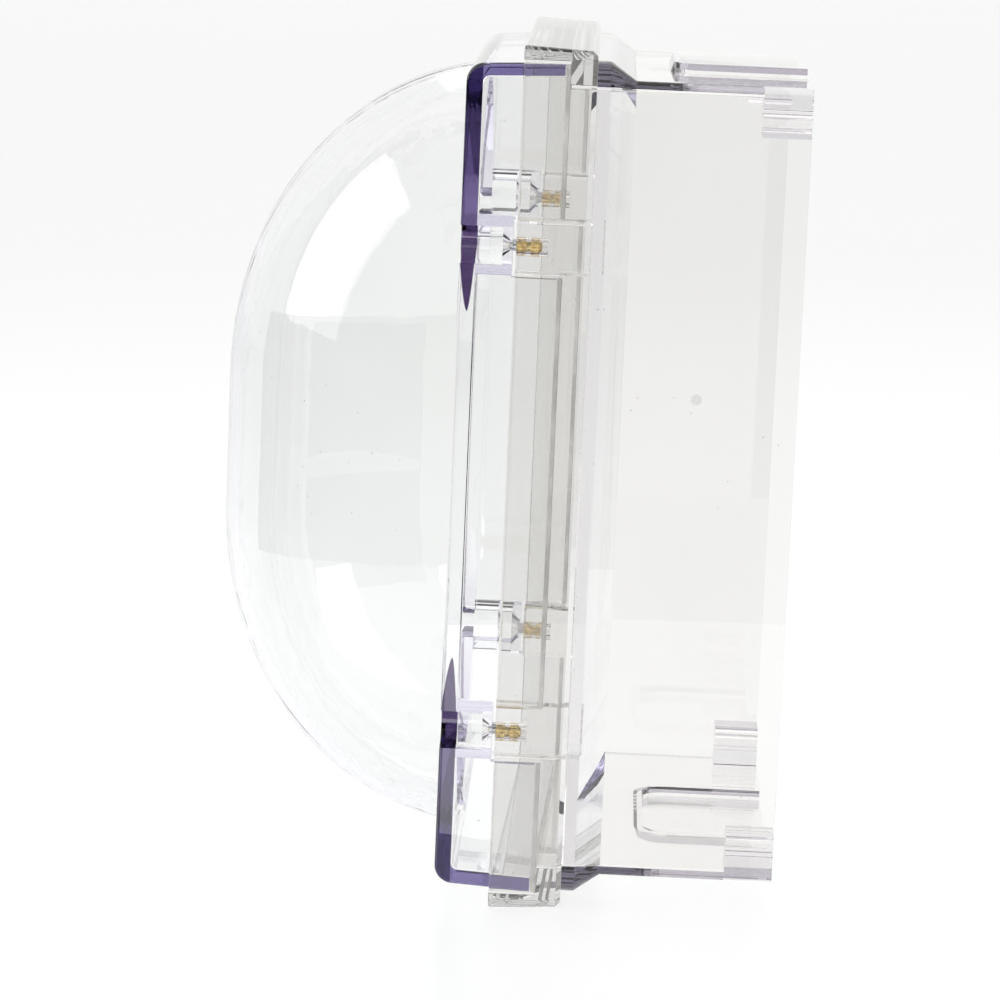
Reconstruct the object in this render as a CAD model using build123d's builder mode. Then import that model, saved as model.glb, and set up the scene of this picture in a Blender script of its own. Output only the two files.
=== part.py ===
from build123d import *
import math
import os

# A clear wall guard for a sounder and strobe: a domed cover that plugs into a mounting frame,
# which is bonded to an open-backed conduit box. Millimetres, +Z up. The wall is the plane
# Y = 0, the guard stands out from it towards -Y, and X runs across its width. Every size
# called "front", "rear" or "plane" is a distance in front of the wall.

# mounting frame
FRAME_HEIGHT = 216.0
FRAME_WIDTH = 152.0
FRAME_CORNER = 3.0
FRAME_FRONT = 71.0
FRAME_REAR = 53.0
FRAME_DRAFT = 2.75
FRAME_EDGE = 0.6
FRAME_REAR_CHAMFER = 1.2
RIM_INNER_HEIGHT = 209.2
RIM_INNER_WIDTH = 145.2
RIM_INNER_CORNER = 1.5
LEDGE_FRONT = 59.6
LEDGE_HEIGHT = 197.2
LEDGE_WIDTH = 133.2
LEDGE_CORNER = 1.5

# screw blocks and brass inserts; the pairs sit a little low on the real guard
SCREW_X = 66.5
UPPER_SCREW_Z = 58.5
LOWER_SCREW_Z = -63.5
BLOCK_HEIGHT = 13.5
BLOCK_INNER_X = 61.0
BLOCK_OUTER_X = 73.6
BLOCK_BORE_DEPTH = 7.6
INSERT_LENGTH = 6.0
INSERT_RADIUS = 2.4
INSERT_NECK_RADIUS = 2.05
INSERT_BORE_RADIUS = 1.55
INSERT_BAND = 2.1
INSERT_LEAD = 0.5
KNURL_TEETH = 18
KNURL_DEPTH = 0.22

# domed cover
SKIRT_REAR = 61.0
PLATE_FRONT = 85.0
COVER_HEIGHT = 208.0
COVER_WIDTH = 144.0
COVER_DRAFT = 2.6
COVER_END_RADIUS = 4.6
COVER_END_INNER_RADIUS = 1.8
COVER_SIDE_RADIUS = 1.0
SKIRT_WALL = 3.2
PLATE_WALL = 4.0
DOME_MIDDLE_Z = -1.5
DOME_CENTRE = 74.5
DOME_HALF_STRAIGHT = 18.0
DOME_END_HEIGHT = 83.5
DOME_HALF_WIDTH = 70.6
DOME_REACH = 72.0
DOME_WALL = 3.0
DOME_ROOT = 3.0

# screw pockets in the cover
CUP_RADIUS = 7.35
POCKET_RADIUS = 4.75
CUP_REAR = 72.0
CUP_FLOOR = 2.4
SCREW_HOLE_RADIUS = 1.8
SINK_RADIUS = 3.3
SINK_DEPTH = 1.5
SKIRT_NOTCH_GAP = 0.8

# cover screws
SHANK_RADIUS = 1.5
HEAD_RADIUS = 2.75
HEAD_FRONT = 74.3
HEAD_CONE = 1.25
SHANK_TIP = 65.6
SOCKET_ACROSS = 2.0
SOCKET_DEPTH = 0.9
SOCKET_PIN_RADIUS = 0.35

# gasket strips on the ledge
GASKET_FRONT = 60.7
GASKET_OUTER_HEIGHT = 208.4
GASKET_OUTER_WIDTH = 144.4
GASKET_OUTER_CORNER = 1.6
GASKET_INNER_CORNER = 0.6
GASKET_BREADTH = 3.6
GASKET_END_GAP = 0.6

# conduit box
BOX_HEIGHT = 200.0
BOX_WIDTH = 136.0
BOX_CORNER = 2.0
BOX_INNER_CORNER = 0.8
BOX_WALL = 2.0
FLANGE_LAND = 3.2
FLANGE_FLARE = 4.5
FLANGE_SLOPE = 6.4
BOSS_DEPTH = 12.0
BOSS_REACH = 12.5
BOSS_CORNER = 3.0
WALL_HOLE_INSET = 8.0
WALL_HOLE_RADIUS = 2.4
PAD_WIDTH = 56.0
PAD_DEPTH = 35.0
PAD_PROUD = 2.5
PAD_CORNER = 9.0
PAD_DRAFT = 20.0
PAD_WALL = 2.6

SCREWS = {
    "upper_right": (SCREW_X, UPPER_SCREW_Z),
    "upper_left": (-SCREW_X, UPPER_SCREW_Z),
    "lower_right": (SCREW_X, LOWER_SCREW_Z),
    "lower_left": (-SCREW_X, LOWER_SCREW_Z),
}


def facing_front(distance):
    """A sketch plane that far in front of the wall; extruding from it goes away from the wall."""
    return Plane(origin=(0, -distance, 0), x_dir=(1, 0, 0), z_dir=(0, -1, 0))


def facing_wall(distance):
    """The same plane turned round; extruding from it goes towards the wall."""
    return Plane(origin=(0, -distance, 0), x_dir=(-1, 0, 0), z_dir=(0, 1, 0))


def pad_plane(side, height):
    """A level sketch plane that far above the middle, or below it, facing away from the box."""
    return Plane(origin=(0, 0, side * height), x_dir=(1, 0, 0), z_dir=(0, 0, side))


def screw_plane(place, distance):
    """A sketch plane on one screw's axis, facing the front."""
    x, z = SCREWS[place]
    return Plane(origin=(x, -distance, z), x_dir=(1, 0, 0), z_dir=(0, -1, 0))


def quarter_oval(plane, half, reach):
    """A quarter of an oval on that plane, with a short straight root behind it."""
    with BuildSketch(plane) as oval:
        Ellipse(half, reach)
        Rectangle(4 * half, 2 * reach, align=(Align.CENTER, Align.MAX), mode=Mode.SUBTRACT)
        Rectangle(half, DOME_ROOT, align=(Align.MIN, Align.MAX))
        Rectangle(2 * half, 4 * reach, align=(Align.MAX, Align.CENTER), mode=Mode.SUBTRACT)
    return oval.sketch


def dome_form(shrink):
    """The dome: a straight middle between two turned ends, narrowed to an oval at the end."""
    height = DOME_END_HEIGHT - shrink
    width = DOME_HALF_WIDTH - shrink
    level = Plane(origin=(0, -DOME_CENTRE, 0), x_dir=(1, 0, 0), z_dir=(0, 0, -1))
    section = quarter_oval(level, height, DOME_REACH - shrink)
    with BuildPart() as dome:
        add(section)
        extrude(amount=-DOME_HALF_STRAIGHT)
        add(section.moved(Location((0, 0, DOME_HALF_STRAIGHT))))
        revolve(axis=Axis((0, 0, DOME_HALF_STRAIGHT), (0, 1, 0)), revolution_arc=-90)
        mirror(about=Plane.YZ)
        mirror(about=Plane.XY)
        scale(by=(width / height, 1, 1))
    return dome.part


def skirt_form(inset, front, end_radius, side_radius):
    """A drafted block from the skirt's rear to that front, rounded along its ends and sides."""
    wide = COVER_WIDTH / 2 - inset
    high = COVER_HEIGHT / 2 - inset
    lean = (front - SKIRT_REAR) * math.tan(math.radians(COVER_DRAFT))
    with BuildPart() as block:
        with BuildSketch(Plane.YZ) as side_view:
            with BuildLine():
                Polyline(
                    (-SKIRT_REAR, -high), (-front, lean - high), (-front, high - lean),
                    (-SKIRT_REAR, high), close=True,
                )
            make_face()
            fillet(side_view.vertices().group_by(Axis.X)[0], radius=end_radius)
        extrude(amount=wide, both=True)
        with BuildSketch(Plane.XY):
            with BuildLine():
                Polyline(
                    (-wide, -SKIRT_REAR), (lean - wide, -front), (wide - lean, -front),
                    (wide, -SKIRT_REAR), close=True,
                )
            make_face()
        extrude(amount=2 * high, both=True, mode=Mode.INTERSECT)
        sides = block.faces().sort_by(Axis.X)
        rims = ShapeList(sides[0].edges() + sides[-1].edges())
        fillet([rim for rim in rims if rim.center().Y < -SKIRT_REAR - 0.1], radius=side_radius)
    return block.part


# the dome's outer and inner shapes
with BuildPart() as dome_outer:
    with Locations((0, 0, DOME_MIDDLE_Z)):
        add(dome_form(0))

with BuildPart() as dome_inner:
    with Locations((0, 0, DOME_MIDDLE_Z)):
        add(dome_form(DOME_WALL))

# the flat plate and the skirt behind it, as one drafted block
with BuildPart() as cover_block:
    add(skirt_form(0, PLATE_FRONT, COVER_END_RADIUS, COVER_SIDE_RADIUS))

# the room inside the skirt, opening forwards into the dome
with BuildPart() as cover_room:
    add(skirt_form(
        SKIRT_WALL, PLATE_FRONT - PLATE_WALL, COVER_END_INNER_RADIUS, COVER_SIDE_RADIUS / 2
    ))
    add(dome_inner.part)

# the outsides of the four screw pockets, trimmed to the block so that they follow its draft
with BuildPart() as pocket_cups:
    with BuildSketch(facing_front(CUP_REAR)):
        for x, z in SCREWS.values():
            side = math.copysign(1, x)
            with Locations((x, z)):
                Circle(CUP_RADIUS)
            with Locations((x + side * CUP_RADIUS, z)):
                Rectangle(2 * CUP_RADIUS, 2 * CUP_RADIUS)
    extrude(amount=PLATE_FRONT - PLATE_WALL / 2 - CUP_REAR)
    add(cover_block.part, mode=Mode.INTERSECT)

with BuildPart() as cover_shell:
    add(cover_block.part)
    add(dome_outer.part)
    add(cover_room.part, mode=Mode.SUBTRACT)
    add(pocket_cups.part)
    # pockets open to the front and to the side, so that a driver reaches the screw
    with BuildSketch(facing_front(CUP_REAR + CUP_FLOOR)):
        for x, z in SCREWS.values():
            side = math.copysign(1, x)
            with Locations((x, z)):
                Circle(POCKET_RADIUS)
            with Locations((x + side * 2 * POCKET_RADIUS, z)):
                Rectangle(4 * POCKET_RADIUS, 2 * POCKET_RADIUS)
    extrude(amount=PLATE_FRONT, mode=Mode.SUBTRACT)
    # sunk screw holes through the pocket floors
    for place in SCREWS:
        with Locations(screw_plane(place, CUP_REAR + CUP_FLOOR)):
            CounterSinkHole(SCREW_HOLE_RADIUS, SINK_RADIUS, depth=2 * CUP_FLOOR)
    # the skirt is cut away where it would meet the frame's screw blocks
    with BuildSketch(facing_front(SKIRT_REAR - 1)):
        for x, z in SCREWS.values():
            with Locations((x + math.copysign(1.5, x), z)):
                Rectangle(18, BLOCK_HEIGHT + 2 * SKIRT_NOTCH_GAP)
    extrude(amount=CUP_REAR - SKIRT_REAR + 1, mode=Mode.SUBTRACT)

# a drafted rim round the cover's skirt, a ledge behind it, and four blocks for the screws
with BuildPart() as mounting_frame:
    with BuildSketch(facing_wall(FRAME_FRONT)):
        RectangleRounded(FRAME_WIDTH, FRAME_HEIGHT, FRAME_CORNER)
    extrude(amount=FRAME_FRONT - FRAME_REAR, taper=FRAME_DRAFT)
    chamfer(mounting_frame.faces().sort_by(Axis.Y)[-1].edges(), length=FRAME_REAR_CHAMFER)
    fillet(mounting_frame.faces().sort_by(Axis.Y)[0].edges(), radius=FRAME_EDGE)
    with BuildSketch(facing_wall(FRAME_FRONT)):
        RectangleRounded(RIM_INNER_WIDTH, RIM_INNER_HEIGHT, RIM_INNER_CORNER)
    extrude(amount=FRAME_FRONT - LEDGE_FRONT, mode=Mode.SUBTRACT)
    with BuildSketch(facing_wall(FRAME_FRONT)):
        RectangleRounded(LEDGE_WIDTH, LEDGE_HEIGHT, LEDGE_CORNER)
    extrude(amount=FRAME_FRONT - FRAME_REAR, mode=Mode.SUBTRACT)
    with BuildSketch(facing_front(FRAME_REAR)):
        for x, z in SCREWS.values():
            middle = math.copysign((BLOCK_INNER_X + BLOCK_OUTER_X) / 2, x)
            with Locations((middle, z)):
                RectangleRounded(BLOCK_OUTER_X - BLOCK_INNER_X, BLOCK_HEIGHT, 0.8)
    extrude(amount=FRAME_FRONT - FRAME_REAR)
    for place in SCREWS:
        with Locations(screw_plane(place, FRAME_FRONT)):
            Hole(INSERT_RADIUS, depth=BLOCK_BORE_DEPTH)

# the two conduit pads, cut off flush with the wall
with BuildPart() as conduit_pads:
    for side in (1, -1):
        with BuildSketch(pad_plane(side, (BOX_HEIGHT - BOX_WALL) / 2)):
            RectangleRounded(PAD_WIDTH, 2 * PAD_DEPTH, PAD_CORNER)
        extrude(amount=PAD_PROUD + BOX_WALL / 2, taper=PAD_DRAFT)
    split(bisect_by=Plane.XZ, keep=Keep.TOP)

# an open-backed box with a flared front flange, corner bosses and a conduit pad above and below
with BuildPart() as back_box:
    with BuildSketch(facing_wall(FRAME_REAR)):
        RectangleRounded(
            BOX_WIDTH + 2 * FLANGE_FLARE, BOX_HEIGHT + 2 * FLANGE_FLARE, BOX_CORNER + FLANGE_FLARE
        )
    extrude(amount=FLANGE_LAND)
    with BuildSketch(facing_wall(FRAME_REAR - FLANGE_LAND)):
        RectangleRounded(
            BOX_WIDTH + 2 * FLANGE_FLARE, BOX_HEIGHT + 2 * FLANGE_FLARE, BOX_CORNER + FLANGE_FLARE
        )
    extrude(amount=FLANGE_SLOPE, taper=math.degrees(math.atan2(FLANGE_FLARE, FLANGE_SLOPE)))
    with BuildSketch(facing_wall(FRAME_REAR)):
        RectangleRounded(BOX_WIDTH, BOX_HEIGHT, BOX_CORNER)
    extrude(amount=FRAME_REAR)
    add(conduit_pads.part)
    with BuildSketch(facing_wall(FRAME_REAR)):
        RectangleRounded(
            BOX_WIDTH - 2 * BOX_WALL, BOX_HEIGHT - 2 * BOX_WALL, BOX_INNER_CORNER
        )
    extrude(amount=FRAME_REAR, mode=Mode.SUBTRACT)
    # the wall steps outwards behind each pad, which leaves a recess that is open to the rear
    for side in (1, -1):
        with BuildSketch(pad_plane(side, BOX_HEIGHT / 2 - 2 * BOX_WALL)):
            RectangleRounded(
                PAD_WIDTH - 2 * PAD_WALL, 2 * (PAD_DEPTH - PAD_WALL), PAD_CORNER - PAD_WALL
            )
        extrude(amount=BOX_WALL + PAD_PROUD, mode=Mode.SUBTRACT)
    # bosses for the wall screws, inside the rear corners
    with BuildSketch(facing_front(0)):
        with GridLocations(BOX_WIDTH, BOX_HEIGHT, 2, 2):
            RectangleRounded(2 * BOSS_REACH, 2 * BOSS_REACH, BOSS_CORNER)
        RectangleRounded(
            BOX_WIDTH - BOX_WALL, BOX_HEIGHT - BOX_WALL, BOX_CORNER / 2, mode=Mode.INTERSECT
        )
    extrude(amount=BOSS_DEPTH)
    with BuildSketch(facing_front(0)):
        with GridLocations(
            BOX_WIDTH - 2 * WALL_HOLE_INSET, BOX_HEIGHT - 2 * WALL_HOLE_INSET, 2, 2
        ):
            Circle(WALL_HOLE_RADIUS)
    extrude(amount=BOSS_DEPTH, mode=Mode.SUBTRACT)

# gasket strips that fill the ledge between the screw blocks
strip_gap = BLOCK_HEIGHT / 2 + GASKET_END_GAP
upper_top = UPPER_SCREW_Z + strip_gap
upper_bottom = UPPER_SCREW_Z - strip_gap
lower_top = LOWER_SCREW_Z + strip_gap
lower_bottom = LOWER_SCREW_Z - strip_gap
WINDOWS = {
    "gasket_top": (0, (upper_top + FRAME_HEIGHT) / 2, 2 * FRAME_WIDTH, FRAME_HEIGHT - upper_top),
    "gasket_bottom": (
        0, (lower_bottom - FRAME_HEIGHT) / 2, 2 * FRAME_WIDTH, FRAME_HEIGHT + lower_bottom
    ),
    "gasket_right": (
        FRAME_WIDTH / 2, (upper_bottom + lower_top) / 2, FRAME_WIDTH, upper_bottom - lower_top
    ),
    "gasket_left": (
        -FRAME_WIDTH / 2, (upper_bottom + lower_top) / 2, FRAME_WIDTH, upper_bottom - lower_top
    ),
}
gaskets = {}
for name, (x, z, width, height) in WINDOWS.items():
    with BuildPart() as gasket:
        with BuildSketch(facing_front(LEDGE_FRONT)):
            RectangleRounded(GASKET_OUTER_WIDTH, GASKET_OUTER_HEIGHT, GASKET_OUTER_CORNER)
            RectangleRounded(
                GASKET_OUTER_WIDTH - 2 * GASKET_BREADTH,
                GASKET_OUTER_HEIGHT - 2 * GASKET_BREADTH,
                GASKET_INNER_CORNER,
                mode=Mode.SUBTRACT,
            )
            with Locations((x, z)):
                Rectangle(width, height, mode=Mode.INTERSECT)
        extrude(amount=GASKET_FRONT - LEDGE_FRONT)
    gaskets[name] = gasket

# brass inserts: two knurled bands with a neck between them and a plain bore
inserts = {}
for place in SCREWS:
    with BuildPart() as insert:
        with BuildSketch(screw_plane(place, FRAME_FRONT - INSERT_LENGTH)):
            Circle(INSERT_NECK_RADIUS)
        extrude(amount=INSERT_LENGTH)
        for rear in (INSERT_LEAD, INSERT_LENGTH - INSERT_BAND):
            with BuildSketch(screw_plane(place, FRAME_FRONT - INSERT_LENGTH + rear)):
                Circle(INSERT_RADIUS)
                with PolarLocations(INSERT_RADIUS + 0.1, KNURL_TEETH):
                    Rectangle(
                        2 * KNURL_DEPTH, 2 * KNURL_DEPTH, rotation=45, mode=Mode.SUBTRACT
                    )
            extrude(amount=INSERT_BAND)
        with Locations(screw_plane(place, FRAME_FRONT)):
            Hole(INSERT_BORE_RADIUS, depth=INSERT_LENGTH)
    inserts[place] = insert

# cover screws: sunk heads with a pinned hexagon socket, on plain shanks
screws = {}
for place in SCREWS:
    with BuildPart() as screw:
        with BuildSketch(screw_plane(place, SHANK_TIP)):
            Circle(SHANK_RADIUS)
        extrude(amount=HEAD_FRONT - SHANK_TIP)
        chamfer(screw.faces().sort_by(Axis.Y)[-1].edges(), length=0.4)
        with Locations(screw_plane(place, HEAD_FRONT - HEAD_CONE / 2)):
            Cone(SHANK_RADIUS, HEAD_RADIUS, HEAD_CONE)
        with BuildSketch(screw_plane(place, HEAD_FRONT)):
            RegularPolygon(SOCKET_ACROSS / 2, 6, major_radius=False)
            Circle(SOCKET_PIN_RADIUS, mode=Mode.SUBTRACT)
        extrude(amount=-SOCKET_DEPTH, mode=Mode.SUBTRACT)
    screws[place] = screw

os.makedirs("parts", exist_ok=True)
cover_shell.part.label = "cover_shell"
export_step(cover_shell.part, "parts/cover_shell.step")
mounting_frame.part.label = "mounting_frame"
export_step(mounting_frame.part, "parts/mounting_frame.step")
back_box.part.label = "back_box"
export_step(back_box.part, "parts/back_box.step")
for name, gasket in gaskets.items():
    gasket.part.label = name
    export_step(gasket.part, f"parts/{name}.step")
for place, insert in inserts.items():
    insert.part.label = f"insert_{place}"
    export_step(insert.part, f"parts/insert_{place}.step")
for place, screw in screws.items():
    screw.part.label = f"screw_{place}"
    export_step(screw.part, f"parts/screw_{place}.step")
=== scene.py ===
import math

import bmesh
import bpy
from mathutils import Matrix, Vector

bl_info = {
    "name": "Clear wall guard",
    "version": (1, 0, 0),
    "blender": (4, 5, 0),
    "location": "3D View > Sidebar > Guard",
    "description": "Dresses a clear wall guard in plastics and metals and lights it in a studio",
    "category": "Object",
}

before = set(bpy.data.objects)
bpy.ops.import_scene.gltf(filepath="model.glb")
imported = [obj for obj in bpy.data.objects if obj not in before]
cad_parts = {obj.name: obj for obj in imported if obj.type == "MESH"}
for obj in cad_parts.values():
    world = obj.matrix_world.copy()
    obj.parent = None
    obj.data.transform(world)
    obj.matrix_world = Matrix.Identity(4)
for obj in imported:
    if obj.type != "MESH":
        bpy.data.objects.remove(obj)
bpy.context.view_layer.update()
PLACES = ("upper_right", "upper_left", "lower_right", "lower_left")
# the cover's screw pockets and its side, in metres, for the painted shade on the plate's edge
POCKET_OUT = 0.0665  # their axes, out from the middle
POCKET_RISE = 0.0610  # and up or down from midway between them
POCKET_MIDDLE = -0.0025  # which lies below the guard's middle
POCKET_REACH = 0.0049  # just past a pocket's wall
COVER_SIDE = 0.0697  # just inside the cover's side
SOFT_LINE = 0.0001  # over which a painted line fades
# softboxes: name, bearing and height in degrees, distance, width and length in metres, radiance
SOFTBOXES = (
    ("softbox_front", 87.5, 33.0, 0.75, (0.44, 0.62), 1.8),
    ("softbox_back", 190.0, 40.0, 1.10, (0.80, 0.60), 0.4),
)
# cards that only reflections show: bearings in degrees, the rest in metres from the guard
GUARD_MIDDLE = (0.0, -0.08, 0.0)
BAND_START, BAND_SWEEP = 110.0, 215.0
BAND_REACH, BAND_TOP = 0.44, 0.40
BAND_GLOW = 0.04
ROOM_REACH, ROOM_GLOW = 1.6, 0.62
ROOM_LOW, ROOM_HIGH, ROOM_NEAR = -0.1, 1.38, 0.50
CARD_LIFT = 0.001  # above the table
GLEAM_GLOW = 3.0
# bright patches on the table, by their corners, which the lower half of the dome mirrors
GLEAMS = (
    ("front_gleam", (
        (0.11, -0.434), (0.247, -0.451), (0.13, -0.207), (0.091, -0.115), (0.066, -0.209))),
    ("side_gleam", ((0.57, -0.302), (0.57, -0.10), (0.135, -0.083), (0.150, -0.113))),
)


class GuardFinishes(bpy.types.PropertyGroup):
    """Colours and polish of the guard's own pieces."""

    cover_tint: bpy.props.FloatVectorProperty(
        name="Cover tint", description="Colour that a long way through the cover's plastic takes",
        subtype="COLOR", size=3, default=(0.50, 0.44, 0.70), min=0.0, max=1.0)
    box_tint: bpy.props.FloatVectorProperty(
        name="Box tint", description="Colour that a long way through the box's plastic takes",
        subtype="COLOR", size=3, default=(0.40, 0.35, 0.47), min=0.0, max=1.0)
    tint_depth: bpy.props.FloatProperty(
        name="Tint depth", description="How quickly the tint builds up, per metre of plastic",
        default=22.0, min=0.0)
    grey_depth: bpy.props.FloatProperty(
        name="Frame grey depth",
        description="How quickly the frame's faint grey builds up, per metre of plastic",
        default=3.0, min=0.0)
    cover_sheet: bpy.props.FloatVectorProperty(
        name="Cover sheet", description="Light that one clean wall of the cover lets through",
        subtype="COLOR", size=3, default=(0.992, 1.0, 0.982), min=0.0, max=1.0)
    box_sheet: bpy.props.FloatVectorProperty(
        name="Box sheet", description="Light that one clean wall of the box lets through",
        subtype="COLOR", size=3, default=(0.99, 0.985, 0.975), min=0.0, max=1.0)
    frame_sheet: bpy.props.FloatVectorProperty(
        name="Frame sheet", description="Light that one clean wall of the frame lets through",
        subtype="COLOR", size=3, default=(0.875, 0.865, 0.855), min=0.0, max=1.0)
    # painted shade: the plate's edge and its ends are painted dark violet in place of the shade of
    # light that runs the long way through the tint
    edge_shade_colour: bpy.props.FloatVectorProperty(
        name="Plate edge", description="Colour of the cover's plate where its long edge shows",
        subtype="COLOR", size=3, default=(0.034, 0.020, 0.082), min=0.0, max=1.0)
    edge_end_shade_colour: bpy.props.FloatVectorProperty(
        name="Plate edge end", description="Colour of that edge at and past the screw pockets",
        subtype="COLOR", size=3, default=(0.009, 0.004, 0.024), min=0.0, max=1.0)
    edge_middle: bpy.props.FloatProperty(
        name="Edge middle", description="Height midway between the two ends of the plate's edge",
        default=-0.0015, precision=4, subtype="DISTANCE", unit="LENGTH")
    edge_start: bpy.props.FloatProperty(
        name="Edge start", description="How far from that middle the plate's edge begins",
        default=0.0435, precision=4, subtype="DISTANCE", unit="LENGTH")
    edge_taper: bpy.props.FloatProperty(
        name="Edge taper", description="Length over which the plate's edge reaches its full width",
        default=0.016, subtype="DISTANCE", unit="LENGTH")
    edge_spine: bpy.props.FloatProperty(
        name="Edge spine", description="Where the tapered edge's two ends point, front to back",
        default=-0.0826, precision=4, subtype="DISTANCE", unit="LENGTH")
    edge_behind: bpy.props.FloatProperty(
        name="Edge behind", description="Full width of the edge behind its spine",
        default=0.0017, precision=4, subtype="DISTANCE", unit="LENGTH")
    edge_before: bpy.props.FloatProperty(
        name="Edge before", description="Full width of the edge before its spine",
        default=0.0026, precision=4, subtype="DISTANCE", unit="LENGTH")
    gate_place: bpy.props.FloatVectorProperty(
        name="Gate mark", description="Where the mould was filled, on the box's side",
        size=3, default=(0.0680, -0.0250, 0.0222), subtype="XYZ", unit="LENGTH")
    gate_size: bpy.props.FloatProperty(
        name="Gate mark size", description="Width of the mark that the mould's gate leaves",
        default=0.0028, precision=4, subtype="DISTANCE", unit="LENGTH")
    bond_gap: bpy.props.FloatProperty(
        name="Bond line", description="Thickness of the glue between the frame and the box",
        default=0.00003, precision=5, subtype="DISTANCE", unit="LENGTH")
    clear_ior: bpy.props.FloatProperty(
        name="Plastic bending of light", description="Refractive index of the clear plastic",
        default=1.586, min=1.0, max=2.0)
    brass: bpy.props.FloatVectorProperty(
        name="Brass", description="Colour of the threaded inserts",
        subtype="COLOR", size=3, default=(0.88, 0.70, 0.34), min=0.0, max=1.0)
    steel: bpy.props.FloatVectorProperty(
        name="Steel", description="Colour of the cover screws",
        subtype="COLOR", size=3, default=(0.66, 0.66, 0.67), min=0.0, max=1.0)
    foam: bpy.props.FloatVectorProperty(
        name="Gasket foam", description="Colour of the gasket strips",
        subtype="COLOR", size=3, default=(0.48, 0.47, 0.46), min=0.0, max=1.0)


class GuardStudio(bpy.types.PropertyGroup):
    """The floor, the lights and the camera."""

    lean: bpy.props.FloatProperty(
        name="Lean", description="Slope of the frame's drafted rim, on which the guard stands",
        default=math.radians(2.43), subtype="ANGLE", unit="ROTATION")
    floor_drop: bpy.props.FloatProperty(
        name="Floor drop", description="How far the floor lies below the guard's middle",
        default=0.1050, subtype="DISTANCE", unit="LENGTH")
    camera_place: bpy.props.FloatVectorProperty(
        name="Camera place", description="Where the camera stands, level with the floor's slope",
        size=3, default=(1.0824, -0.0431, 0.1653), subtype="XYZ", unit="LENGTH")
    camera_aim: bpy.props.FloatVectorProperty(
        name="Camera aim", description="The point that the camera looks at",
        size=3, default=(0.0, -0.0746, -0.0133), subtype="XYZ", unit="LENGTH")
    lens: bpy.props.FloatProperty(
        name="Lens", description="Focal length on a 36 mm sensor, in millimetres",
        default=148.9, min=20.0)
    backdrop: bpy.props.FloatVectorProperty(
        name="Backdrop light", description="Brightness of the white surroundings",
        size=3, default=(1.01, 1.015, 1.0))
    floor_colour: bpy.props.FloatVectorProperty(
        name="Floor", description="Colour of the floor",
        subtype="COLOR", size=3, default=(0.92, 0.925, 0.93), min=0.0, max=1.0)


class Pin:
    """One output of a node, so that shader sums are written as plain arithmetic."""

    def __init__(self, tree, socket):
        self.tree = tree
        self.socket = socket

    def sum(self, operation, *terms):
        made = self.tree.nodes.new("ShaderNodeMath")
        made.operation = operation
        for slot, term in zip(made.inputs, terms):
            if isinstance(term, Pin):
                self.tree.links.new(term.socket, slot)
            else:
                slot.default_value = term
        return Pin(self.tree, made.outputs[0])

    def __add__(self, other):
        return self.sum("ADD", self, other)

    def __radd__(self, other):
        return self.sum("ADD", other, self)

    def __sub__(self, other):
        return self.sum("SUBTRACT", self, other)

    def __rsub__(self, other):
        return self.sum("SUBTRACT", other, self)

    def __mul__(self, other):
        return self.sum("MULTIPLY", self, other)

    def __rmul__(self, other):
        return self.sum("MULTIPLY", other, self)

    def __truediv__(self, other):
        return self.sum("DIVIDE", self, other)

    def __pow__(self, other):
        return self.sum("POWER", self, other)

    def __gt__(self, other):
        return self.sum("GREATER_THAN", self, other)

    def __lt__(self, other):
        return self.sum("LESS_THAN", self, other)

    def size(self):
        """The value without its sign."""
        return self.sum("ABSOLUTE", self)

    def clip(self):
        """Keeps the value between 0 and 1."""
        return self.sum("MINIMUM", self.sum("MAXIMUM", self, 0.0), 1.0)


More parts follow.
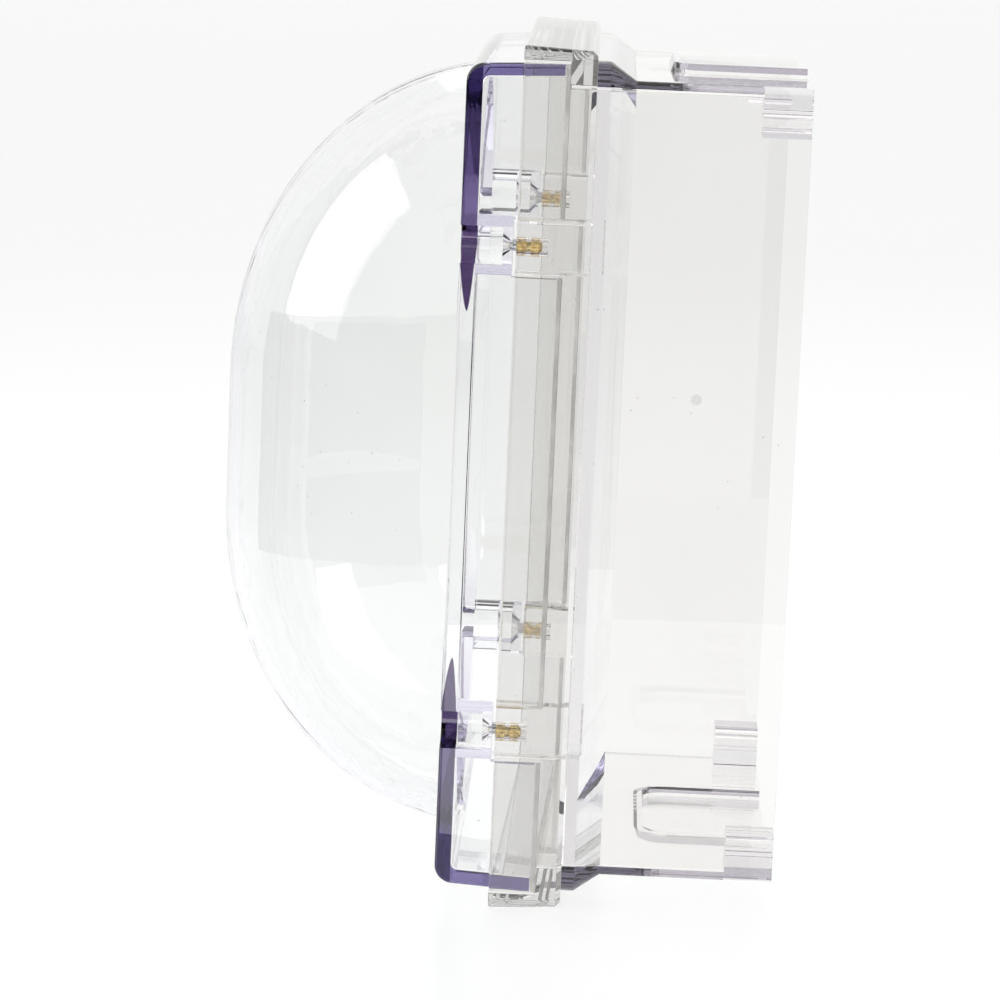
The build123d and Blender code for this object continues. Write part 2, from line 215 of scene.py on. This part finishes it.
class Finish:
    """A material under construction."""

    def __init__(self, name):
        self.material = bpy.data.materials.new(name)
        self.material.use_nodes = True
        self.tree = self.material.node_tree
        self.tree.nodes.clear()
        self.here = self.node("ShaderNodeTexCoord", out="Object")

    def node(self, kind, settings=None, sockets=None, out=0):
        """Adds a node: its settings first, then the values or links of its sockets."""
        made = self.tree.nodes.new(kind)
        for key, value in (settings or {}).items():
            if key == "stops":
                ramp = made.color_ramp
                ramp.elements[0].position, ramp.elements[0].color = value[0]
                ramp.elements[-1].position, ramp.elements[-1].color = value[-1]
                for place, colour in value[1:-1]:
                    ramp.elements.new(place).color = colour
            else:
                setattr(made, key, value)
        for key, value in (sockets or {}).items():
            if isinstance(value, Pin):
                self.tree.links.new(value.socket, made.inputs[key])
            else:
                made.inputs[key].default_value = value
        return Pin(self.tree, made.outputs[out])

    def stretch(self, x, y, z, shift=(0.0, 0.0, 0.0)):
        """Object coordinates, stretched so that a pattern runs longer or shorter along an axis."""
        return self.node("ShaderNodeMapping", sockets={
            "Vector": self.here, "Scale": (x, y, z), "Location": shift})

    def noise(self, scale, detail=3.0, rough=0.5, where=None, bend=0.0):
        return self.node("ShaderNodeTexNoise", sockets={
            "Vector": where or self.here, "Scale": scale, "Detail": detail,
            "Roughness": rough, "Distortion": bend}, out="Fac")

    def cells(self, scale):
        return self.node("ShaderNodeTexVoronoi", None, {
            "Vector": self.here, "Scale": scale}, "Distance")

    def ramp(self, value, low, high):
        """Rises smoothly from 0 at low to 1 at high."""
        return self.node("ShaderNodeMapRange", {"interpolation_type": "SMOOTHSTEP"}, {
            "Value": value, "From Min": low, "From Max": high}, out="Result")

    def mix(self, share, first, second):
        """A blend of two colours."""
        return self.node("ShaderNodeMix", {"data_type": "RGBA"}, {
            0: share, 6: first, 7: second}, out=2)

    def bump(self, height, distance, strength=1.0, under=None):
        sockets = {"Height": height, "Distance": distance, "Strength": strength}
        if under is not None:
            sockets["Normal"] = under
        return self.node("ShaderNodeBump", None, sockets, out="Normal")

    def surface(self, **sockets):
        """The shader itself and the material's output."""
        names = {key.replace("_", " "): value for key, value in sockets.items()}
        shader = self.node("ShaderNodeBsdfPrincipled", None, names)
        output = self.tree.nodes.new("ShaderNodeOutputMaterial")
        self.tree.links.new(shader.socket, output.inputs["Surface"])
        self.output = output
        return self.material

    def depth(self, colour, density):
        """What the light loses on its way through the solid."""
        shade = self.node("ShaderNodeVolumeAbsorption", None, {"Color": colour, "Density": density})
        self.tree.links.new(shade.socket, self.output.inputs["Volume"])
        return self.material


def opaque(colour):
    return (*colour, 1.0)


def plate_edge_shade(made, finishes):
    """Where painted dark shade lies on the cover plate's long edge, in place of the shade of light
    taking the long way through the tinted plate, and how much of it is the deeper end.
    """
    place = made.node("ShaderNodeSeparateXYZ", sockets={"Vector": made.here}, out="X")
    x, y, z = (Pin(made.tree, place.socket.node.outputs[axis]) for axis in "XYZ")
    taper = ((z - finishes.edge_middle).size() - finishes.edge_start) / finishes.edge_taper
    taper = taper.clip() ** 0.6
    back = taper * finishes.edge_behind + finishes.edge_spine
    front = finishes.edge_spine - taper * finishes.edge_before
    behind = made.ramp(y, back + SOFT_LINE, back - SOFT_LINE)
    before = made.ramp(y, front - SOFT_LINE, front + SOFT_LINE)
    # the edge is the side of the cover, or the wall of the pocket that is cut into that side
    outward = x.size() - POCKET_OUT
    from_pockets = (z - POCKET_MIDDLE).size() - POCKET_RISE
    inward = outward.sum("MINIMUM", outward, 0.0)
    in_pocket = (inward * inward + from_pockets * from_pockets) < POCKET_REACH ** 2
    outside = (in_pocket + (outward > COVER_SIDE - POCKET_OUT)).clip()
    # the shade is painted only where a ray enters the surface, so the near edge shows it and the
    # far edge, left from inside, does not
    entering = 1.0 - made.node("ShaderNodeNewGeometry", out="Backfacing")
    edge = behind * before * outside * (taper > 0.02) * entering
    return edge, made.ramp(from_pockets, POCKET_REACH + 0.0003, POCKET_REACH - 0.0007)


def gate_mark(made, finishes):
    """The small round mark on the box's side, where the mould was filled."""
    offset = made.node("ShaderNodeVectorMath", {"operation": "DISTANCE"}, {
        0: made.here, 1: tuple(finishes.gate_place)}, out="Value")
    return made.ramp(offset, finishes.gate_size * 0.55, finishes.gate_size * 0.40)


def clear_plastic(name, finishes, sheet, tint, density, edge_shaded=False, gated=False):
    """Polished clear plastic: mould waves, haze, hairline scratches and specks of dust, with
    painted shade on the cover plate's edge where asked.
    """
    made = Finish(name)
    haze = made.ramp(made.noise(9.0, 4.0, 0.55, bend=0.6), 0.46, 0.74)
    waves = made.noise(16.0, 2.0, 0.45)
    hairs = made.noise(55.0, 2.0, 0.6, made.stretch(1.0, 38.0, 1.6))
    cross = made.noise(60.0, 2.0, 0.6, made.stretch(1.4, 1.5, 34.0, (0.3, 0.1, 0.2)))
    scratch = made.ramp(hairs, 0.72, 0.76) + made.ramp(cross, 0.73, 0.77)
    dust = made.ramp(made.cells(190.0), 0.075, 0.03) * (made.noise(22.0, 1.0) > 0.62)
    sheet = opaque(sheet)
    dull = (sheet[0] * 0.975, sheet[1] * 0.975, sheet[2] * 0.97, 1.0)
    speck = (0.55, 0.54, 0.52, 1.0)
    colour = made.mix(dust * 0.8, made.mix(haze, sheet, dull), speck)
    if edge_shaded:
        # painted shade: a dark violet on the plate's edge, darker still at its ends, stands in for
        # the shade of the long path through the tint
        edge, deeper = plate_edge_shade(made, finishes)
        painted_shade = made.mix(deeper, opaque(finishes.edge_shade_colour), opaque(finishes.edge_end_shade_colour))
        colour = made.mix(edge, colour, painted_shade)
    if gated:
        colour = made.mix(gate_mark(made, finishes), colour, (0.72, 0.74, 0.70, 1.0))
    rough = (0.003 + haze * 0.008 + scratch * 0.02 + dust * 0.3).clip()
    wavy = made.bump(waves, 0.0004, 0.10)
    fine = made.bump(scratch * 0.6 - dust, 0.00001, 0.15, wavy)
    made.surface(
        Base_Color=colour, Roughness=rough, Normal=fine, IOR=finishes.clear_ior,
        Transmission_Weight=1.0)
    return made.depth(opaque(tint), density)


def brass_metal(name, finishes):
    """Turned and knurled brass, a little tarnished in patches."""
    made = Finish(name)
    tarnish = made.ramp(made.noise(900.0, 4.0, 0.6), 0.42, 0.66)
    grain = made.noise(2600.0, 2.0, 0.6, made.stretch(1.0, 9.0, 1.0))
    bright = opaque(finishes.brass)
    dark = (bright[0] * 0.45, bright[1] * 0.40, bright[2] * 0.34, 1.0)
    return made.surface(
        Base_Color=made.mix(tarnish * 0.7, bright, dark),
        Roughness=(0.18 + tarnish * 0.22 + grain * 0.10).clip(),
        Normal=made.bump(grain, 0.00002, 0.5), Metallic=1.0)


def steel_metal(name, finishes):
    """Bright stainless steel with turning marks."""
    made = Finish(name)
    marks = made.noise(1500.0, 3.0, 0.6, made.stretch(1.0, 14.0, 1.0))
    smear = made.ramp(made.noise(240.0, 3.0), 0.4, 0.7)
    bright = opaque(finishes.steel)
    dull = (bright[0] * 0.72, bright[1] * 0.72, bright[2] * 0.74, 1.0)
    return made.surface(
        Base_Color=made.mix(smear * 0.6, bright, dull),
        Roughness=(0.16 + marks * 0.14 + smear * 0.10).clip(),
        Normal=made.bump(marks, 0.00001, 0.5), Metallic=1.0)


def foam_rubber(name, finishes):
    """Closed-cell foam: fine pores with painted shade in them, a dusty bloom and a cut skin."""
    made = Finish(name)
    pores = made.ramp(made.cells(2400.0), 0.34, 0.16)
    bloom = made.ramp(made.noise(70.0, 4.0, 0.6), 0.35, 0.75)
    base = opaque(finishes.foam)
    pale = (base[0] * 1.5, base[1] * 1.5, base[2] * 1.5, 1.0)
    pore_shade = (base[0] * 0.4, base[1] * 0.4, base[2] * 0.4, 1.0)
    return made.surface(
        # painted shade: the pores are darkened as if shade fell in their hollows
        Base_Color=made.mix(pores * 0.8, made.mix(bloom, base, pale), pore_shade),
        Roughness=(0.72 + bloom * 0.2).clip(),
        Normal=made.bump(1.0 - pores, 0.00015, 0.7))


def dress(node, material, see_through=False):
    """Gives a carried-over solid its finish; clear pieces let the lights shine through."""
    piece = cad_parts[node]
    piece.data.materials.clear()
    piece.data.materials.append(material)
    piece.visible_shadow = not see_through
    piece.visible_diffuse = not see_through
    return piece


class GUARD_OT_cover(bpy.types.Operator):
    """Dress the domed cover in tinted clear plastic"""

    bl_idname = "guard.cover"
    bl_label = "Domed cover"

    def execute(self, context):
        finishes = context.scene.guard_finishes
        dress("cover_shell", clear_plastic(
            "tinted_cover", finishes, finishes.cover_sheet, finishes.cover_tint,
            finishes.tint_depth, True), True)
        return {"FINISHED"}


class GUARD_OT_frame(bpy.types.Operator):
    """Dress the mounting frame in clear plastic"""

    bl_idname = "guard.frame"
    bl_label = "Mounting frame"

    def execute(self, context):
        finishes = context.scene.guard_finishes
        piece = dress("mounting_frame", clear_plastic(
            "clear_frame", finishes, finishes.frame_sheet, (0.5, 0.5, 0.52),
            finishes.grey_depth), True)
        # light can't cross two faces in one plane, so the glue between them gets its thickness
        glue = piece.modifiers.new("bond_line", "DISPLACE")
        glue.direction = "Y"
        glue.mid_level = 0.0
        glue.strength = -finishes.bond_gap
        return {"FINISHED"}


class GUARD_OT_box(bpy.types.Operator):
    """Dress the conduit box in tinted clear plastic"""

    bl_idname = "guard.box"
    bl_label = "Conduit box"

    def execute(self, context):
        finishes = context.scene.guard_finishes
        dress("back_box", clear_plastic(
            "tinted_box", finishes, finishes.box_sheet, finishes.box_tint,
            finishes.tint_depth, gated=True), True)
        return {"FINISHED"}


class GUARD_OT_gasket(bpy.types.Operator):
    """Dress the gasket strips in foam rubber"""

    bl_idname = "guard.gasket"
    bl_label = "Gasket strips"

    def execute(self, context):
        foam = foam_rubber("gasket_foam", context.scene.guard_finishes)
        for side in ("top", "bottom", "left", "right"):
            dress(f"gasket_{side}", foam)
        return {"FINISHED"}


class GUARD_OT_inserts(bpy.types.Operator):
    """Dress the four threaded inserts in brass"""

    bl_idname = "guard.inserts"
    bl_label = "Brass inserts"

    def execute(self, context):
        brass = brass_metal("knurled_brass", context.scene.guard_finishes)
        for place in PLACES:
            dress(f"insert_{place}", brass)
        return {"FINISHED"}


class GUARD_OT_screws(bpy.types.Operator):
    """Dress the four cover screws in stainless steel"""

    bl_idname = "guard.screws"
    bl_label = "Cover screws"

    def execute(self, context):
        steel = steel_metal("stainless_screw", context.scene.guard_finishes)
        for place in PLACES:
            dress(f"screw_{place}", steel)
        return {"FINISHED"}


def stage_mesh(name, bm, material):
    """A stage object from a finished bmesh."""
    mesh = bpy.data.meshes.new(name)
    bm.to_mesh(mesh)
    bm.free()
    made = bpy.data.objects.new(name, mesh)
    bpy.context.scene.collection.objects.link(made)
    mesh.materials.append(material)
    return made


def glow(name, colour, strength):
    """A plain shining or dark card, seen from its front alone."""
    made = Finish(name)
    front = made.node("ShaderNodeEmission", None, {"Color": colour, "Strength": strength})
    shade = made.node("ShaderNodeMixShader", None, {
        0: made.node("ShaderNodeNewGeometry", out="Backfacing"), 1: front,
        2: made.node("ShaderNodeBsdfTransparent")})
    output = made.tree.nodes.new("ShaderNodeOutputMaterial")
    made.tree.links.new(shade.socket, output.inputs["Surface"])
    return made.material


def bearing_vector(bearing, height):
    """Direction at that many degrees round from +X towards the front, and above the table."""
    level = math.cos(math.radians(height))
    return Vector((
        level * math.cos(math.radians(bearing)), -level * math.sin(math.radians(bearing)),
        math.sin(math.radians(height))))


def keep_side(bm, place, normal):
    """Cuts a mesh along a plane and keeps the side that the normal points to."""
    bmesh.ops.bisect_plane(
        bm, geom=bm.verts[:] + bm.edges[:] + bm.faces[:], plane_co=place, plane_no=normal,
        clear_inner=True)


class GUARD_OT_studio(bpy.types.Operator):
    """Lay the floor, hang the lights and place the camera"""

    bl_idname = "guard.studio"
    bl_label = "Studio"

    def execute(self, context):
        studio = context.scene.guard_studio
        level = Matrix.Rotation(-studio.lean, 4, "X").inverted()
        self.lay_floor(studio, level)
        self.hang_lights(level)
        self.hang_cards(studio, level)
        self.set_world(context, studio)
        self.place_camera(context, studio, level)
        return {"FINISHED"}

    def lay_floor(self, studio, level):
        made = Finish("table_gloss")
        cloud = made.noise(3.0, 3.0)
        fine = made.noise(60.0, 3.0)
        base = opaque(studio.floor_colour)
        shade = (base[0] * 0.985, base[1] * 0.985, base[2] * 0.985, 1.0)
        material = made.surface(
            Base_Color=made.mix(cloud, base, shade),
            Roughness=(0.34 + fine * 0.05).clip(), IOR=1.33,
            Normal=made.bump(cloud, 0.002, 0.1))
        bm = bmesh.new()
        bmesh.ops.create_grid(bm, x_segments=24, y_segments=24, size=9.0)
        bmesh.ops.translate(bm, verts=bm.verts, vec=(-4.0, 0.0, -studio.floor_drop))
        bmesh.ops.transform(bm, matrix=level, verts=bm.verts)
        stage_mesh("floor", bm, material)

    def hang_lights(self, level):
        middle = Vector(GUARD_MIDDLE)
        for name, bearing, height, reach, size, shine in SOFTBOXES:
            light = bpy.data.lights.new(name, "AREA")
            light.shape = "RECTANGLE"
            light.size, light.size_y = size
            light.energy = shine * math.pi * size[0] * size[1]
            light.diffuse_factor = 0.05  # the lamps are there to be mirrored, not to light
            lamp = bpy.data.objects.new(name, light)
            towards = bearing_vector(bearing, height)
            turn = towards.to_track_quat("Z", "Y").to_matrix().to_4x4()
            lamp.matrix_world = level @ Matrix.Translation(middle + towards * reach) @ turn
            lamp.visible_camera = False
            bpy.context.scene.collection.objects.link(lamp)

    def hang_cards(self, studio, level):
        """Cards that only the polished surfaces mirror: a dim band, a dim room, two gleams."""
        # a dim band round the front, from the table up, lower where it turns away from the camera
        bm = bmesh.new()
        start = bearing_vector(BAND_START, 0.0) * BAND_REACH
        foot = bm.verts.new((start.x, start.y, CARD_LIFT / 2 - studio.floor_drop))
        head = bm.verts.new((start.x, start.y, BAND_TOP))
        edge = bm.edges.new((foot, head))
        bmesh.ops.spin(
            bm, geom=[foot, head, edge], cent=(0, 0, 0), axis=(0, 0, 1), dvec=(0, 0, 0),
            angle=math.radians(BAND_SWEEP), steps=64, use_merge=False, use_normal_flip=False,
            use_duplicate=False)
        keep_side(bm, (0, 0, 0.116), (0.188, 0, -1))
        bmesh.ops.translate(bm, verts=bm.verts, vec=GUARD_MIDDLE)
        self.hang_card("dim_band", bm, level, (1, 0.97, 0.94, 1), BAND_GLOW)
        # the dim room behind the camera
        bm = bmesh.new()
        bmesh.ops.create_uvsphere(bm, u_segments=48, v_segments=24, radius=ROOM_REACH)
        keep_side(bm, (0, 0, ROOM_LOW), (0, 0, 1))
        keep_side(bm, (ROOM_NEAR, 0, 0), (1, 0, 0))
        keep_side(bm, (0, 0, ROOM_HIGH), (0, 0, -1))
        self.hang_card("dim_room", bm, level, (0.98, 1, 1, 1), ROOM_GLOW)
        for name, corners in GLEAMS:
            bm = bmesh.new()
            height = CARD_LIFT - studio.floor_drop
            bm.faces.new([bm.verts.new((x, y, height)) for x, y in corners])
            self.hang_card(name, bm, level, (1, 1, 1, 1), GLEAM_GLOW)

    def hang_card(self, name, bm, level, colour, strength):
        bmesh.ops.transform(bm, matrix=level, verts=bm.verts)
        card = stage_mesh(name, bm, glow(name, colour, strength))
        card.visible_camera = False
        card.visible_diffuse = False
        card.visible_transmission = False
        card.visible_volume_scatter = False
        card.visible_shadow = False

    def set_world(self, context, studio):
        world = bpy.data.worlds.new("white_tent")
        context.scene.world = world
        world.use_nodes = True
        shade = world.node_tree.nodes["Background"]
        shade.inputs["Color"].default_value = opaque(studio.backdrop)
        shade.inputs["Strength"].default_value = 1.0

    def place_camera(self, context, studio, level):
        place = level @ Vector(studio.camera_place)
        aim = level @ Vector(studio.camera_aim)
        back = (place - aim).normalized()
        right = (level.to_3x3() @ Vector((0, 0, 1))).cross(back).normalized()
        up = back.cross(right)
        camera = bpy.data.cameras.new("camera")
        camera.lens = studio.lens
        camera.sensor_width = 36.0
        camera.clip_start = 0.01
        stand = bpy.data.objects.new("camera", camera)
        stand.matrix_world = Matrix.Translation(place) @ Matrix(
            (right, up, back)).transposed().to_4x4()
        context.scene.collection.objects.link(stand)
        context.scene.camera = stand


class GUARD_PT_panel(bpy.types.Panel):
    """Lists the guard's pieces, finishes and studio"""

    bl_idname = "GUARD_PT_panel"
    bl_label = "Clear wall guard"
    bl_space_type = "VIEW_3D"
    bl_region_type = "UI"
    bl_category = "Guard"

    def draw(self, context):
        column = self.layout.column(align=True)
        for operator in OPERATORS:
            column.operator(operator.bl_idname)
        for settings in (context.scene.guard_finishes, context.scene.guard_studio):
            block = self.layout.box().column()
            for key in settings.bl_rna.properties.keys():
                if key not in ("rna_type", "name"):
                    block.prop(settings, key)


OPERATORS = (
    GUARD_OT_cover, GUARD_OT_frame, GUARD_OT_box, GUARD_OT_gasket, GUARD_OT_inserts,
    GUARD_OT_screws, GUARD_OT_studio,
)
CLASSES = (GuardFinishes, GuardStudio, *OPERATORS, GUARD_PT_panel)


def register():
    for each in CLASSES:
        bpy.utils.register_class(each)
    bpy.types.Scene.guard_finishes = bpy.props.PointerProperty(type=GuardFinishes)
    bpy.types.Scene.guard_studio = bpy.props.PointerProperty(type=GuardStudio)


def unregister():
    del bpy.types.Scene.guard_studio
    del bpy.types.Scene.guard_finishes
    for each in reversed(CLASSES):
        bpy.utils.unregister_class(each)


def light_paths(scene):
    """Enough bounces for light to pass through every wall of the guard."""
    scene.view_settings.view_transform = "Standard"
    scene.cycles.use_denoising = True
    scene.cycles.max_bounces = 28
    scene.cycles.transmission_bounces = 28
    scene.cycles.glossy_bounces = 16
    scene.cycles.diffuse_bounces = 3
    scene.cycles.transparent_max_bounces = 16
    scene.cycles.caustics_reflective = False
    scene.cycles.caustics_refractive = False
    scene.cycles.sample_clamp_indirect = 6.0


def main():
    register()
    light_paths(bpy.context.scene)
    bpy.ops.guard.cover()
    bpy.ops.guard.frame()
    bpy.ops.guard.box()
    bpy.ops.guard.gasket()
    bpy.ops.guard.inserts()
    bpy.ops.guard.screws()
    bpy.ops.guard.studio()
    bpy.context.view_layer.update()


if __name__ == "__main__":
    main()
